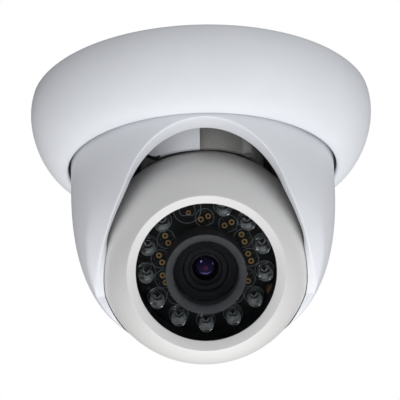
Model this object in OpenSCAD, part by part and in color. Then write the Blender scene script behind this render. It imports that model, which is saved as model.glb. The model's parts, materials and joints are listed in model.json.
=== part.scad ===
// Dome security camera for a ceiling: a round trim ring, a turret shroud that turns under it, and a
// ball camera that tilts and turns on its own axis inside the shroud.
// Origin: centre of the face that meets the ceiling. +Z points up into the ceiling, the lens looks to -Y.
// Azimuths are measured from the front (-Y) towards +X. Parts of the ball are drawn in the ball's own
// frame: centre at the origin, +Z out through the lens, +Y up, and ball_place() carries them over.

/* [Trim ring] */
// Radius of the trim ring at the ceiling
ring_r = 56; // [55.8:0.1:56.2]
// Height of the trim ring
ring_h = 25.4; // [25.2:0.1:25.6]
// Inner radius of the ring's lip, round the shroud
lip_r = 44.3; // [44.2:0.1:44.5]
// Wall of the trim ring
ring_wall = 2; // [1.6:0.1:2.2]

/* [Base] */
// Radius of the base plate, inside the trim ring
plate_r = 53.3; // [53:0.1:53.4]
// Thickness of the base plate
plate_t = 3.5; // [3.3:0.1:3.5]
// Radius of the circle that the ceiling screws stand on
mount_r = 48.5; // [47.5:0.5:48.5]
// Radius of a ceiling screw's hole
mount_hole_r = 2.25; // [2:0.05:2.5]
// Radius of the hub that the turret turns on
hub_r = 14.5; // [14.5:0.1:14.6]
// Radius of the cable hole through the hub
hub_bore_r = 9; // [8.5:0.1:9]

/* [Shroud] */
// Radius of the shroud where it leaves the ring
dome_r = 43.35; // [43.2:0.05:43.5]
// Lowest point of the shroud, below the ceiling
dome_low = 76; // [75.8:0.1:76.2]
// Wall of the shroud
dome_wall = 1.5; // [1.4:0.05:1.6]
// Radius of the arch over the ball
arch_r = 26.7; // [26.5:0.1:26.9]
// Depth of the arch's centre below the ceiling
arch_depth = 53.1; // [53:0.1:53.3]
// Depth of the arch's soffit, front to back
soffit = 7.8; // [7.4:0.1:8]
// Slope of the lower edge of the opening
rim_slope = 33; // [32.8:0.1:33.2]
// Depth of that edge below the ceiling, at the middle of the ball's window
rim_depth = 64.3; // [64.2:0.1:64.4]
// Angle of the arch's straight legs from the horizontal
leg_angle = 66; // [65.5:0.5:67]
// Radius of the flat cheeks beside the arch
cheek_r = 42.4; // [42.3:0.1:42.5]

/* [Ball] */
// Radius of the ball
ball_r = 34.8; // [34.7:0.05:34.8]
// Depth of the ball's centre below the ceiling
ball_depth = 55.7; // [55.6:0.1:55.8]
// Angle of the lens below the horizon, at rest
rest_tilt = 35; // [30:1:40]
// Wall of the ball's shells
ball_wall = 2.5; // [2.3:0.1:2.6]
// Radius of the ball's front rim
rim_r = 25.2; // [25:0.1:25.4]
// Radius of the window that shows
window_r = 22.3; // [22.1:0.1:22.4]
// Radius of the journal that the ball turns on
journal_r = 28.75; // [28.7:0.05:28.8]

/* [Lamps and lens] */
// Radius of the circle of lamps
led_circle_r = 19.35; // [19.2:0.05:19.5]
// Radius of a lamp
led_r = 2.5; // [2.4:0.1:2.6]
// Angle between two lamps
led_step = 27; // [26.5:0.5:27]
// Distance of the lens axis below the window's axis
lens_drop = 1.2; // [1:0.1:1.4]
// Outer radius of the lens hood
hood_r = 13; // [12.8:0.1:13]
// Radius of the lens barrel's head
lens_head_r = 7.1; // [7:0.1:7.2]

/* [Motion] */
// Travel of the turret and of the ball's own turn, each way
turn_limit = 177.5; // [170:0.5:177.5]
// Travel of the filter slide
slide_travel = 8; // [7.8:0.1:8]

/* [Hidden] */
$fn = 96;
eps = 0.01;
gap = 0.3;

// Heights of the pan bearing's stack, all below the ceiling.
carrier_top = plate_t + 1.6;
carrier_low = carrier_top + 3;
hub_low = carrier_low + 1.8;
retainer_t = 1.5;
carrier_r = 42.6;
stop_r = 38;
// Screws on the pan retaining ring.
pan_screw_circle = 11.8;
pan_screw_azimuths = [60, 180, 300];
// Ceiling screws and the ring's lugs stand apart.
mount_azimuths = [0, 120, 240];
sink_r = 4.4;
gasket_r = 43;
gasket_in = 40;
gasket_t = 1;
lug_azimuths = [60, 180, 300];
lug_in = 51.7;
lug_out = 55.4;
// The arch's legs cut the circle instead of only touching it.
leg_inset = 0.15;
// Where the slanting edge's depth is measured, in front of the pan axis.
rim_y = 10.1;
// Seat of the ball: an outer collar on the left that leans outwards up to a bend, and a set-back
// skirt all round.
collar_r = 23.4;
collar_low = 27.6;
collar_wall = 1.4;
collar_lean = 4.4;
collar_bend = 20;
collar_side = 1.15;
collar_end_azimuth = -46;
collar_end_depth = 26.8;
pad_t = 0.8;
pad_w = 1.1;
skirt_r = 20.2;
skirt_low = 26;
skirt_wall = 1.3;
boss_r = 2.2;
boss_x = 14.4;
boss_y = -13.9;
gland_way = 15;
// Yokes outside the ball, and the ears of the tilt ring between them and the ball.
ear_in = 35.2;
ear_out = 36.4;
arm_in = ear_out + gap;
arm_out = arm_in + 1.2;
pivot_r = 1.8;
yoke_screw_x = 32;
yoke_screw_y = 4;
flange_in = 36.6;
shroud_screw_circle = 39;
shroud_screw_azimuths = [35, 145, 215, 325];
// The band of the ball that the tilt ring fills.
band_front = -8.5;
band_back = -14.8;
bore_fit = 0.06;
stop_z = -11.6;
shell_bore_r = 24.6;
shell_screw_circle = 26.7;
shell_screw_angles = [30, 150, 270];
rear_flat = 33.8;
// Depths along the lens axis, from the ball's centre.
rim_z = sqrt(ball_r * ball_r - rim_r * rim_r);
glass_front = 22;
glass_back = 20;
gasket_back = 19.2;
board_front = 6.5;
board_t = 1.6;
board_r = 28;
sleeve_r = 24.2;
sleeve_in = 22.7;
retainer_low = 9;
sensor_front = -9.5;
main_front = -17.4;
main_r = 23.2;
standoff_xy = 13;
// Lamps: one place to the left of the top is left free.
led_angles = [for (i = [0:8]) 180 - 4 * led_step + i * led_step, -45, -18, 45];
led_tip = 15;

function cubic(a, b, c, d, t) =
    pow(1 - t, 3) * a + 3 * pow(1 - t, 2) * t * b + 3 * (1 - t) * t * t * c + t * t * t * d;
function curve(a, b, c, d, n) = [for (i = [0:n]) cubic(a, b, c, d, i / n)];
function reversed(v) = [for (i = [len(v) - 1:-1:0]) v[i]];

// A point at an azimuth from the front, at a radius from the pan axis.
module at_azimuth(a, r) rotate([0, 0, a]) translate([0, -r, 0]) children();
// A point at an angle round the lens axis, from the top towards the left of the ball's front.
module at_angle(a, r) rotate([0, 0, a]) translate([0, r, 0]) children();
// A cylinder or tube that hangs down from a height.
module hang(r, top, h, bore = 0) translate([0, 0, top - h]) difference() {
    cylinder(r = r, h = h);
    if (bore > 0) translate([0, 0, -eps]) cylinder(r = bore, h = h + 2 * eps);
}
// A tube between two depths along the lens axis.
module sleeve(r, z0, z1, bore = 0) hang(r, z1, z1 - z0, bore);
// The ball's own frame, and the frame of the lens inside it.
module ball_place() translate([0, 0, -ball_depth]) rotate([90 + rest_tilt, 0, 0]) children();
module lens_place() ball_place() translate([0, -lens_drop, 0]) children();
module block(x, y, z0, z1) translate([-x / 2, -y / 2, z0]) cube([x, y, z1 - z0]);
// A pan-head screw: the head's underside is at the origin, the shank runs up.
module screw(shank_r, shank_l, head_r, head_h) {
    cylinder(r = shank_r, h = shank_l, $fn = 32);
    difference() {
        translate([0, 0, -head_h]) cylinder(r = head_r, h = head_h, $fn = 32);
        for (a = [0, 90]) rotate([0, 0, a])
            translate([-head_r * 0.6, -0.25, -head_h - eps]) cube([head_r * 1.2, 0.5, head_h * 0.6]);
    }
}

// ---- Base ----

module mounting_base() {
    color("gainsboro")
    difference() {
        union() {
            hang(plate_r, 0, plate_t);
            hang(hub_r, -plate_t + eps, hub_low - plate_t + eps);
            // The stop that ends the turret's turn, at the back.
            at_azimuth(180, stop_r) translate([-0.7, -1.5, -plate_t - 1.2]) cube([1.4, 3, 1.2 + eps]);
        }
        hang(hub_bore_r, eps, hub_low + 2 * eps);
        // Groove for the gasket.
        hang(gasket_r, eps, gasket_t + eps, gasket_in);
        for (a = mount_azimuths) at_azimuth(a, mount_r) {
            hang(mount_hole_r, eps, plate_t + 2 * eps);
            // Countersink, open below.
            hang(sink_r, -plate_t + 1, 1 + eps);
        }
        for (a = pan_screw_azimuths) at_azimuth(a, pan_screw_circle)
            translate([0, 0, -hub_low - eps]) cylinder(r = 1.05, h = 5.2, $fn = 32);
    }
}

module ceiling_gasket() {
    color("dimgray") hang(gasket_r, 0, gasket_t, gasket_in);
}

module cable_grommet() {
    color("black") {
        hang(hub_bore_r, 0, hub_low, hub_bore_r - 1.5);
        hang(hub_bore_r + 0.8, -hub_low - retainer_t, 1.2, hub_bore_r - 1.5);
        hang(hub_bore_r, -hub_low + eps, retainer_t + 2 * eps, hub_bore_r - 1.5);
    }
}

module trim_ring() {
    outer = [[ring_r, 0], [ring_r + 2.72, -9.85], [52.2, -23.45], [45.2, -ring_h]];
    w = ring_wall;
    inner = [outer[0] - [w, 0], outer[1] - [w, 0], outer[2] + [-0.5 * w, 0.9 * w], outer[3] + [0, w]];
    color("whitesmoke") {
        rotate_extrude($fn = 128) polygon(concat(
            curve(outer[0], outer[1], outer[2], outer[3], 16),
            [[44.6, -ring_h + 0.1], [lip_r, -ring_h + 0.4], [lip_r, -ring_h + w]],
            reversed(curve(inner[0], inner[1], inner[2], inner[3], 12))
        ));
        // Lugs that hook under the base plate.
        for (a = lug_azimuths) difference() {
            at_azimuth(a, 0) translate([-5, -lug_out, -plate_t - 2]) cube([10, 4, 2]);
            hang(lug_in, 0, 10);
        }
    }
}

module pan_bearing_ring() {
    color("ivory") hang(22, -plate_t, 1.5, hub_r + 0.5);
}

module pan_retaining_ring() {
    color("silver") difference() {
        hang(18.3, -hub_low, retainer_t, hub_bore_r + 0.05);
        for (a = pan_screw_azimuths) at_azimuth(a, pan_screw_circle)
            hang(1.15, -hub_low + 1, retainer_t + 2);
    }
}

module pan_ring_screws() {
    color("silver") for (a = pan_screw_azimuths) at_azimuth(a, pan_screw_circle)
        translate([0, 0, -hub_low - retainer_t]) screw(1, 6, 1.9, 1.4);
}

// ---- Turret ----

module pan_carrier() {
    color("darkgray") difference() {
        union() {
            hang(carrier_r, -carrier_top, carrier_low - carrier_top);
            hang(skirt_r, -carrier_low + eps, skirt_low - carrier_low, skirt_r - skirt_wall);
            // Boss of the lock screw beside the recess.
            translate([boss_x, boss_y, 0]) hang(boss_r, -carrier_low + eps, skirt_low - carrier_low - 0.2);
            // Pin that meets the stop of the base.
            at_azimuth(0, stop_r) translate([0, 0, -carrier_top - eps]) cylinder(r = 0.5, h = 1.2, $fn = 32);
        }
        hang(hub_r + bore_fit, 0, 20);
        // Way for the cable behind the ball.
        translate([-gland_way / 2, 0, -skirt_low - 1]) cube([gland_way, 30, skirt_low - carrier_low + 1]);
        translate([boss_x, boss_y, -skirt_low - 1]) cylinder(r = 0.8, h = 5, $fn = 32);
        // The boss leaves the inside of the skirt clear.
        hang(skirt_r - skirt_wall, -carrier_low - eps, 30);
        for (side = [-1, 1], y = [-1, 1])
            translate([side * yoke_screw_x, y * yoke_screw_y, 0]) hang(1.25, 0, 10);
        for (a = shroud_screw_azimuths) at_azimuth(a, shroud_screw_circle) hang(1.25, 0, 10);
    }
}

module pan_friction_washer() {
    color("dimgray") hang(18, -carrier_low, 1.7, hub_r + 0.4);
}

// The revolved outline of the shroud, moved inwards by a wall.
module dome_body(wall) {
    r = dome_r - wall;
    rotate_extrude($fn = 128) polygon(concat(
        [[0, -carrier_low], [r, -carrier_low]],
        curve([r, -32], [r, -48.2], [40.66 - wall, -66.4], [29 - wall, -dome_low], 12),
        [[0, -dome_low]]
    ));
}

// A horizontal cylinder under a slab: the dome is cut to it on one side, which leaves a flat cheek.
module cheek_body(side, wall) {
    r = cheek_r - wall;
    out = 1;
    deep = 36.4;
    rotate([0, 0, side * 50]) {
        translate([-60, -out, -deep]) rotate([0, 90, 0]) cylinder(r = r, h = 120);
        translate([-60, -out - r, -deep]) cube([120, 2 * r, deep + 5]);
        translate([-60, -5, -90]) cube([120, 90, 95]);
    }
}

module shroud_body(wall) intersection() {
    dome_body(wall);
    cheek_body(1, wall);
    cheek_body(-1, wall);
}

// Everything above the slanting lower edge of the opening.
module above_rim() translate([0, -rim_y, -rim_depth]) rotate([-rim_slope, 0, 0])
    translate([-60, -90, 0]) cube([120, 180, 110]);

// The arch, front to back: the top of a circle that runs on in two straight splayed legs.
module arch(r) translate([0, 0, -arch_depth]) rotate([90, 0, 0]) {
    x = (r - leg_inset) * sin(leg_angle);
    y = (r - leg_inset) * cos(leg_angle);
    drop = 40;
    spread = drop / tan(leg_angle);
    cylinder(r = r, h = 60);
    linear_extrude(60) polygon([[-x, y], [x, y], [x + spread, y - drop], [-x - spread, y - drop]]);
}

module shroud() {
    lug = 9;
    color("whitesmoke") difference() {
        union() {
            difference() {
                shroud_body(0);
                difference() {
                    shroud_body(dome_wall);
                    hang(60, 0, carrier_low + 2.1);
                }
                hang(flange_in, 0, 20);
                arch(arch_r);
            }
            // The soffit runs straight back from the arch's edge.
            difference() {
                intersection() {
                    shroud_body(0);
                    arch(arch_r + 1.5);
                }
                arch(arch_r);
                translate([0, soffit, 0]) shroud_body(0);
                translate([-60, -12, -90]) cube([120, 80, 90]);
            }
        }
        // The ball turns freely inside.
        translate([0, 0, -ball_depth]) sphere(r = ball_r + 0.45, $fn = 128);
        difference() {
            translate([-60, -60, -100]) cube([120, 120, 95]);
            above_rim();
        }
        // Room for the yokes and for the flange's screws.
        for (side = [-1, 1]) translate([side * 37.2 - 2, -lug, -12]) cube([4, 2 * lug, 12]);
        for (a = shroud_screw_azimuths) at_azimuth(a, shroud_screw_circle) hang(1.35, 0, 12);
    }
}

module shroud_screws() {
    color("silver") for (a = shroud_screw_azimuths) at_azimuth(a, shroud_screw_circle)
        translate([0, 0, -carrier_low - 2.1]) screw(1.2, 4.5, 2.2, 1.5);
}

// The wall of the ball's seat, all round: it leans outwards, then runs straight up to the carrier.
module seat_wall(thick, low) {
    far = collar_r + collar_lean;
    rotate_extrude() polygon(concat(
        low > collar_low ? [[collar_r - thick, -low], [collar_r, -low]] : [],
        [[collar_r, -collar_low], [far, -collar_bend], [far, -carrier_low], [far - thick, -carrier_low],
         [far - thick, -collar_bend], [collar_r - thick, -collar_low]]
    ));
}

// Frame of the collar's slanting left end: +Z points into the collar.
module collar_end() at_azimuth(collar_end_azimuth, 0) translate([0, 0, -collar_end_depth])
    rotate([0, 45, 0]) children();

// Left part of the ball's seat: it ends at a straight edge in the middle of the front.
module seat_collar() {
    color("white") intersection() {
        seat_wall(collar_wall, collar_low);
        translate([-40 - collar_side, -40, -40]) cube([40, 80, 40]);
        collar_end() translate([-80, -80, 0]) cube(160);
    }
}

// A soft strip along the slanting end.
module seat_pad() {
    color("black") intersection() {
        seat_wall(pad_t, collar_low + 1);
        collar_end() translate([-9, -80, -pad_w]) cube([14, 80, pad_w]);
    }
}

// A bent strip: a flange under the carrier and an arm down to the tilt axis.
module yoke(side) {
    wide = 7;
    color("silver") mirror([side < 0 ? 1 : 0, 0, 0]) difference() {
        union() {
            translate([28, -wide, -carrier_low - 1.2]) cube([arm_out - 28, 2 * wide, 1.2]);
            translate([arm_in, -wide, -30]) cube([arm_out - arm_in, 2 * wide, 30 - carrier_low]);
            translate([arm_in, -3.5, -ball_depth]) cube([arm_out - arm_in, 7, ball_depth - 29]);
            translate([arm_in, 0, -ball_depth]) rotate([0, 90, 0]) cylinder(r = 3.5, h = arm_out - arm_in);
        }
        translate([arm_in - 1, 0, -ball_depth]) rotate([0, 90, 0])
            cylinder(r = pivot_r + bore_fit, h = 4);
        for (y = [-1, 1]) translate([yoke_screw_x, y * yoke_screw_y, 0]) hang(1.35, 0, 15);
    }
}

module yoke_left() yoke(-1);
module yoke_right() yoke(1);

module yoke_screws() {
    color("silver") for (side = [-1, 1], y = [-1, 1])
        translate([side * yoke_screw_x, y * yoke_screw_y, -carrier_low - 1.2]) screw(1.2, 3.8, 2.2, 1.5);
}

// ---- Tilt frame ----

// A slice of a sphere between two depths.
module zone(r, z0, z1) intersection() {
    sphere(r = r, $fn = 128);
    sleeve(r + 1, z0, z1);
}

module tilt_ring() {
    color("dimgray") ball_place() difference() {
        union() {
            zone(ball_r, band_back + gap, band_front - gap);
            for (side = [0, 1]) mirror([side, 0, 0]) {
                translate([ear_in, 0, 0]) rotate([0, 90, 0]) cylinder(r = 4.5, h = ear_out - ear_in);
                translate([ear_in, -3.5, -12.6]) cube([ear_out - ear_in, 7, 12.6]);
                translate([31, -3.5, -12.6]) cube([ear_out - 31, 7, 12.6 + band_front - gap]);
            }
        }
        sleeve(journal_r + bore_fit, -20, 0);
        rotate([0, 90, 0]) translate([0, 0, -50]) cylinder(r = pivot_r + 0.02, h = 100);
        translate([0, 0, stop_z]) rotate([-90, 0, 0]) cylinder(r = 0.82, h = 50, $fn = 32);
    }
}

module tilt_pivots() {
    color("silver") translate([0, 0, -ball_depth]) for (side = [0, 1]) mirror([side, 0, 0]) rotate([0, 90, 0]) {
        translate([0, 0, ear_in]) cylinder(r = pivot_r, h = arm_out + gap - ear_in);
        translate([0, 0, ear_out]) cylinder(r = 2.6, h = 0.2);
        translate([0, 0, arm_out + 0.1]) cylinder(r = 2.4, h = 0.25);
    }
}

module roll_stop_screw() {
    color("dimgray") ball_place() translate([0, 0, stop_z]) rotate([-90, 0, 0]) {
        translate([0, 0, 29.2]) cylinder(r = 0.8, h = 3.2, $fn = 32);
        translate([0, 0, 27.8]) cylinder(r = 0.55, h = 1.5, $fn = 32);
    }
}

// ---- Ball ----

module front_shell() {
    color("whitesmoke") ball_place() difference() {
        union() {
            difference() {
                zone(ball_r, band_front, rim_z);
                // Inside of the shell, above the rear flange.
                zone(ball_r - ball_wall, band_front + 2.5, 30);
                sleeve(shell_bore_r, band_front - 1, 0);
            }
            for (a = shell_screw_angles) at_angle(a, shell_screw_circle)
                sleeve(2.6, band_front + 2, 1);
            for (a = shell_screw_angles) at_angle(a + 60, 26.3)
                sleeve(1.7, band_front + 2, board_front - board_t);
            intersection() {
                zone(ball_r - 1, 13, 25);
                sleeve(40, 14.5, 22.4);
            }
        }
        // Dished bezel, window pocket and sleeve pocket.
        rotate_extrude($fn = 128) polygon([
            [0, 25], [rim_r, 25], [rim_r, rim_z], [window_r, glass_front + 0.4], [window_r, glass_front],
            [sleeve_r, glass_front], [sleeve_r, 0], [0, 0]
        ]);
        for (a = shell_screw_angles) at_angle(a, shell_screw_circle)
            sleeve(1, band_front - 1, 0);
        for (a = shell_screw_angles) at_angle(a + 60, 26.3)
            sleeve(0.85, 0, board_front);
        for (a = [90, 210, 330]) at_angle(a, 26) sleeve(0.85, 10, 17.5);
    }
}

module rear_shell() {
    color("whitesmoke") ball_place() difference() {
        union() {
            difference() {
                zone(ball_r, -rear_flat, band_back);
                zone(ball_r - ball_wall, -rear_flat + ball_wall, band_back - 2.2);
            }
            sleeve(journal_r, band_back - 1, band_front);
            // Tubes of the shell screws, posts of the main board and the chip's pedestal.
            intersection() {
                zone(ball_r - 1, -rear_flat + 1, band_back);
                union() {
                    for (a = shell_screw_angles) at_angle(a, shell_screw_circle) sleeve(3.1, -34, band_back);
                    for (a = [90, 210, 330]) at_angle(a, 19) sleeve(2.2, -34, main_front - board_t);
                    translate([0, 12, 0]) block(12, 10, -34, -23);
                }
            }
        }
        sleeve(shell_bore_r, band_back - 2.2 - eps, 0);
        // Heads of the shell screws go in from behind.
        for (a = shell_screw_angles) at_angle(a, shell_screw_circle) {
            sleeve(2.1, -40, band_back - 0.8);
            sleeve(1.1, -20, 0);
        }
        for (a = [90, 210, 330]) at_angle(a, 19) sleeve(0.85, -24, main_front);
        // Groove of the seal in the joint face.
        sleeve(25.45, band_front - 0.6, 0, 24.75);
        // Groove that the stop screw runs in, with one rib left standing.
        difference() {
            sleeve(journal_r + 1, stop_z - 1, stop_z + 1, journal_r - 1.35);
            translate([-0.4, -40, -20]) cube([0.8, 40, 20]);
        }
        sleeve(4.25, -40, -25);
    }
}

module shell_seal() {
    color("black") ball_place() sleeve(25.45, band_front - 0.6, band_front, 24.75);
}

module shell_screws() {
    color("silver") ball_place() for (a = shell_screw_angles) at_angle(a, shell_screw_circle)
        translate([0, 0, band_back - 0.8]) screw(0.95, 13.5, 1.9, 1.5);
}

module window_glass() {
    color("lightblue", 0.3) ball_place() sleeve(sleeve_r - 0.05, glass_back, glass_front);
}

module window_gasket() {
    color("black") ball_place() sleeve(sleeve_r, gasket_back, glass_back, 22.5);
}

module window_retainer() {
    color("black") ball_place() difference() {
        union() {
            sleeve(sleeve_r, retainer_low, gasket_back);
            sleeve(27.6, 12.5, 14.5);
        }
        sleeve(sleeve_in, 0, 25);
        for (a = [90, 210, 330]) at_angle(a, 26) sleeve(1.05, 10, 20);
    }
}

module retainer_screws() {
    color("silver") ball_place() for (a = [90, 210, 330]) at_angle(a, 26)
        translate([0, 0, 12.5]) screw(0.8, 4.5, 1.6, 1.2);
}

module led_board() {
    color("black") ball_place() difference() {
        sleeve(board_r, board_front - board_t, board_front);
        translate([0, -lens_drop, 0]) sleeve(8.7, 0, 10);
        for (a = shell_screw_angles) at_angle(a + 60, 26.3) sleeve(1, 0, 10);
    }
}

module led_board_screws() {
    color("silver") ball_place() for (a = shell_screw_angles) at_angle(a + 60, 26.3)
        translate([0, 0, board_front]) rotate([180, 0, 0]) screw(0.8, 5, 1.6, 1.2);
}

module ir_leds() {
    color("white", 0.5) ball_place() for (a = led_angles) at_angle(a, led_circle_r) {
        sleeve(2.9, board_front, board_front + 1);
        sleeve(led_r, board_front, led_tip - led_r);
        translate([0, 0, led_tip - led_r]) sphere(r = led_r, $fn = 48);
    }
}

module light_sensor() {
    color("saddlebrown") ball_place() at_angle(-113.5, 23.6) intersection() {
        sleeve(2.1, board_front, board_front + 1.6);
        block(3.5, 5, 0, 20);
    }
}

module led_lead() {
    y = 21;
    color("white") ball_place() {
        for (x = [-0.9, 0.9]) translate([x, -y, 0]) sleeve(0.6, main_front + 3, board_front - board_t - 3);
        translate([0, -y, 0]) block(6, 3.2, board_front - board_t - 4, board_front - board_t);
        translate([0, -y, 0]) block(6, 3.2, main_front, main_front + 4);
    }
}

module lens_hood() {
    color("black") lens_place() rotate_extrude() polygon([
        [8.9, board_front], [hood_r, board_front], [hood_r, 19.6], [hood_r - 0.3, 19.9],
        [12.6, 19.9], [10.9, 18.4], [10.9, 9.2], [8.9, 9.2]
    ]);
}

module foam_ring() {
    color("dimgray") lens_place() sleeve(10.85, 9.2, 13.4, lens_head_r + 0.2);
}

module lens_barrel() {
    color("black") lens_place() rotate_extrude() polygon([
        [4.6, -1.5], [6, -1.5], [6, 8.9], [lens_head_r, 8.9], [lens_head_r, 12.1], [6.9, 12.3],
        [5.5, 12.3], [4.3, 10.9], [4.3, 7], [4.6, 7]
    ]);
}

// A lens is a slice of a sphere with a cylindrical edge.
module front_lens() {
    color("midnightblue") lens_place() intersection() {
        sleeve(4.25, 8, 12);
        translate([0, 0, 0.2]) sphere(r = 10.8);
    }
}

module rear_lens() {
    color("lightblue") lens_place() sleeve(4.55, -0.6, 1.6);
}

module lens_holder() {
    color("black") lens_place() difference() {
        union() {
            sleeve(8, -2, 8.6);
            block(18, 16.6, -3, -1.4);
        }
        sleeve(6 + 0.04, -10, 20);
    }
}

module filter_housing() {
    color("black") lens_place() difference() {
        block(28, 17, sensor_front, -3);
        difference() {
            block(25.6, 14.6, -8.3, -4.2);
            // Rails of the slide.
            for (y = [-1, 1]) translate([0, y * 6.7, 0]) {
                block(30, 1.8, -5.4, -4);
                block(30, 1.8, -9, -7.2);
            }
        }
        sleeve(4.6, -6, 0);
        block(9, 8, -20, -7);
        for (x = [-1, 1], y = [-1, 1]) translate([x * 12.9, y * 6, 0]) sleeve(0.62, -10, -6);
    }
}

module filter_coil() {
    color("chocolate") lens_place() translate([0, 10.6, 0]) {
        translate([-7, 0, -6.2]) rotate([0, 90, 0]) cylinder(r = 2.1, h = 14, $fn = 32);
    }
}

module sensor_board() {
    color("darkgreen") lens_place() difference() {
        block(32, 32, sensor_front - board_t, sensor_front);
        for (x = [-1, 1], y = [-1, 1]) {
            translate([x * standoff_xy, y * standoff_xy, 0]) sleeve(1.1, -20, 0);
            translate([x * 12.9, y * 6, 0]) sleeve(0.7, -20, 0);
        }
    }
}

module image_sensor() {
    color("slategray") lens_place() block(8, 7, sensor_front, sensor_front + 1.1);
}

module housing_screws() {
    color("silver") lens_place() for (x = [-1, 1], y = [-1, 1])
        translate([x * 12.9, y * 6, sensor_front - board_t]) screw(0.6, 4.5, 1.2, 0.8);
}

module board_standoffs() {
    color("goldenrod") lens_place() for (x = [-1, 1], y = [-1, 1])
        translate([x * standoff_xy, y * standoff_xy, 0])
            sleeve(1.9, main_front, sensor_front - board_t, 0.95);
}

module board_screws() {
    color("silver") lens_place() for (x = [-1, 1], y = [-1, 1])
        translate([x * standoff_xy, y * standoff_xy, 0]) {
            translate([0, 0, sensor_front]) rotate([180, 0, 0]) screw(0.9, 4, 1.7, 1.1);
            translate([0, 0, main_front - board_t]) screw(0.9, 4, 1.7, 1.1);
        }
}

module board_connector() {
    color("ivory") lens_place() translate([0, -12, 0]) block(14, 4, main_front, sensor_front - board_t);
}

module main_board() {
    color("darkgreen") ball_place() difference() {
        sleeve(main_r, main_front - board_t, main_front);
        translate([0, -lens_drop, 0]) for (x = [-1, 1], y = [-1, 1])
            translate([x * standoff_xy, y * standoff_xy, 0]) sleeve(1.1, -30, 0);
        for (a = [90, 210, 330]) at_angle(a, 19) sleeve(1, -30, 0);
    }
}

module main_board_screws() {
    color("silver") ball_place() for (a = [90, 210, 330]) at_angle(a, 19)
        translate([0, 0, main_front]) rotate([180, 0, 0]) screw(0.8, 5.5, 1.7, 1.1);
}

module processor() {
    color("dimgray") ball_place() translate([0, 12, 0]) block(10, 8, main_front - board_t - 1.4, main_front - board_t);
}

module thermal_pad() {
    color("lightblue") ball_place() translate([0, 12, 0]) block(10, 8, -23, main_front - board_t - 1.4);
}

module cable_header() {
    color("ivory") ball_place() translate([0, -8, 0]) block(12, 5, main_front - board_t - 5, main_front - board_t);
}

module cable_gland() {
    color("black") ball_place() difference() {
        rotate_extrude() polygon([
            [0, -30.4], [4.2, -30.4], [4.2, -rear_flat], [5.6, -rear_flat], [5.4, -35.2], [3.9, -36.8], [0, -36.8]
        ]);
        sleeve(2.6, -40, -25);
    }
}

// ---- Filter slide ----

module filter_slide() {
    half = slide_travel / 2;
    color("black") lens_place() translate([half, 0, 0]) difference() {
        block(16.6, 12.6, -6.9, -5.7);
        for (x = [-half, half]) translate([x, 0, 0]) block(7, 8, -10, 0);
    }
}

module filter_at(x) lens_place() translate([x, 0, 0]) block(7, 8, -6.7, -5.9);

module ir_cut_filter() {
    color("turquoise", 0.5) filter_at(0);
}

module clear_filter() {
    color("lightcyan", 0.5) filter_at(slide_travel);
}

mounting_base();
ceiling_gasket();
cable_grommet();
trim_ring();
pan_bearing_ring();
pan_retaining_ring();
pan_ring_screws();
pan_carrier();
pan_friction_washer();
shroud();
shroud_screws();
seat_collar();
seat_pad();
yoke_left();
yoke_right();
yoke_screws();
tilt_ring();
tilt_pivots();
roll_stop_screw();
front_shell();
rear_shell();
shell_seal();
shell_screws();
window_glass();
window_gasket();
window_retainer();
retainer_screws();
led_board();
led_board_screws();
ir_leds();
light_sensor();
led_lead();
lens_hood();
foam_ring();
lens_barrel();
front_lens();
rear_lens();
lens_holder();
filter_housing();
filter_coil();
sensor_board();
image_sensor();
housing_screws();
board_standoffs();
board_screws();
board_connector();
main_board();
main_board_screws();
processor();
thermal_pad();
cable_header();
cable_gland();
filter_slide();
ir_cut_filter();
clear_filter();
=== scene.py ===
"""Looks of a dome security camera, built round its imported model: ring, shroud, ball, lamps and lens."""

import json
import math

import bmesh
import bpy
import numpy as np
from bpy.props import FloatProperty, FloatVectorProperty, PointerProperty
from mathutils import Matrix, Vector


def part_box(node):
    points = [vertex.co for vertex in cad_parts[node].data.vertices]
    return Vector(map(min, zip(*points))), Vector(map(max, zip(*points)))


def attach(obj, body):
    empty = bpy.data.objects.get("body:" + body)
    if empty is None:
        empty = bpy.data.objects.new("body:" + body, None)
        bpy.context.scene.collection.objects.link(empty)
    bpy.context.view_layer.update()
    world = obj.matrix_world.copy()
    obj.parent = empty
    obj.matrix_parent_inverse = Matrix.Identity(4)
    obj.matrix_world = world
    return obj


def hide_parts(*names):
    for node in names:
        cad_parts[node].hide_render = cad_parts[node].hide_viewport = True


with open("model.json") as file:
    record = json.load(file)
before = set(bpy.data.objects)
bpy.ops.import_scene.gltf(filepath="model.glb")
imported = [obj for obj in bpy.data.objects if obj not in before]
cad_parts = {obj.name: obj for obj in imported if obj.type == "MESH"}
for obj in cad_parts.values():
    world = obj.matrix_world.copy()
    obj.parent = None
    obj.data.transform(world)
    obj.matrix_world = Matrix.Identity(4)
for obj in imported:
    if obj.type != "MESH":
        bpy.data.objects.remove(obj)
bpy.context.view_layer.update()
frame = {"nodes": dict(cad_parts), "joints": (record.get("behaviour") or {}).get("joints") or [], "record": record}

bl_info = {
    "name": "Dome security camera",
    "version": (1, 0, 0),
    "blender": (4, 5, 0),
    "location": "View3D > Sidebar > Dome camera",
    "description": "Builds the shells, lamps, board and lens of a ceiling dome camera",
    "category": "Add Mesh",
}

MM = 0.001
# Middle of the front lens, from the ball's centre, in millimetres.
LENS_TIP = 10.95
JOINTS = {joint["name"]: joint for joint in frame["joints"]}
BALL_CENTRE = Vector(JOINTS["roll"]["pos_m"])
LENS_AXIS = Vector(JOINTS["roll"]["axis"]).normalized()


def box_size(node, axis):
    """How far a node of the frame reaches along a row axis, in metres."""
    low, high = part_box(node)
    return high[axis] - low[axis]


def linear(code):
    """An sRGB hex colour as linear red, green and blue."""
    values = [int(code[i:i + 2], 16) / 255 for i in (1, 3, 5)]
    return [v / 12.92 if v <= 0.04045 else ((v + 0.055) / 1.055) ** 2.4 for v in values]


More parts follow.
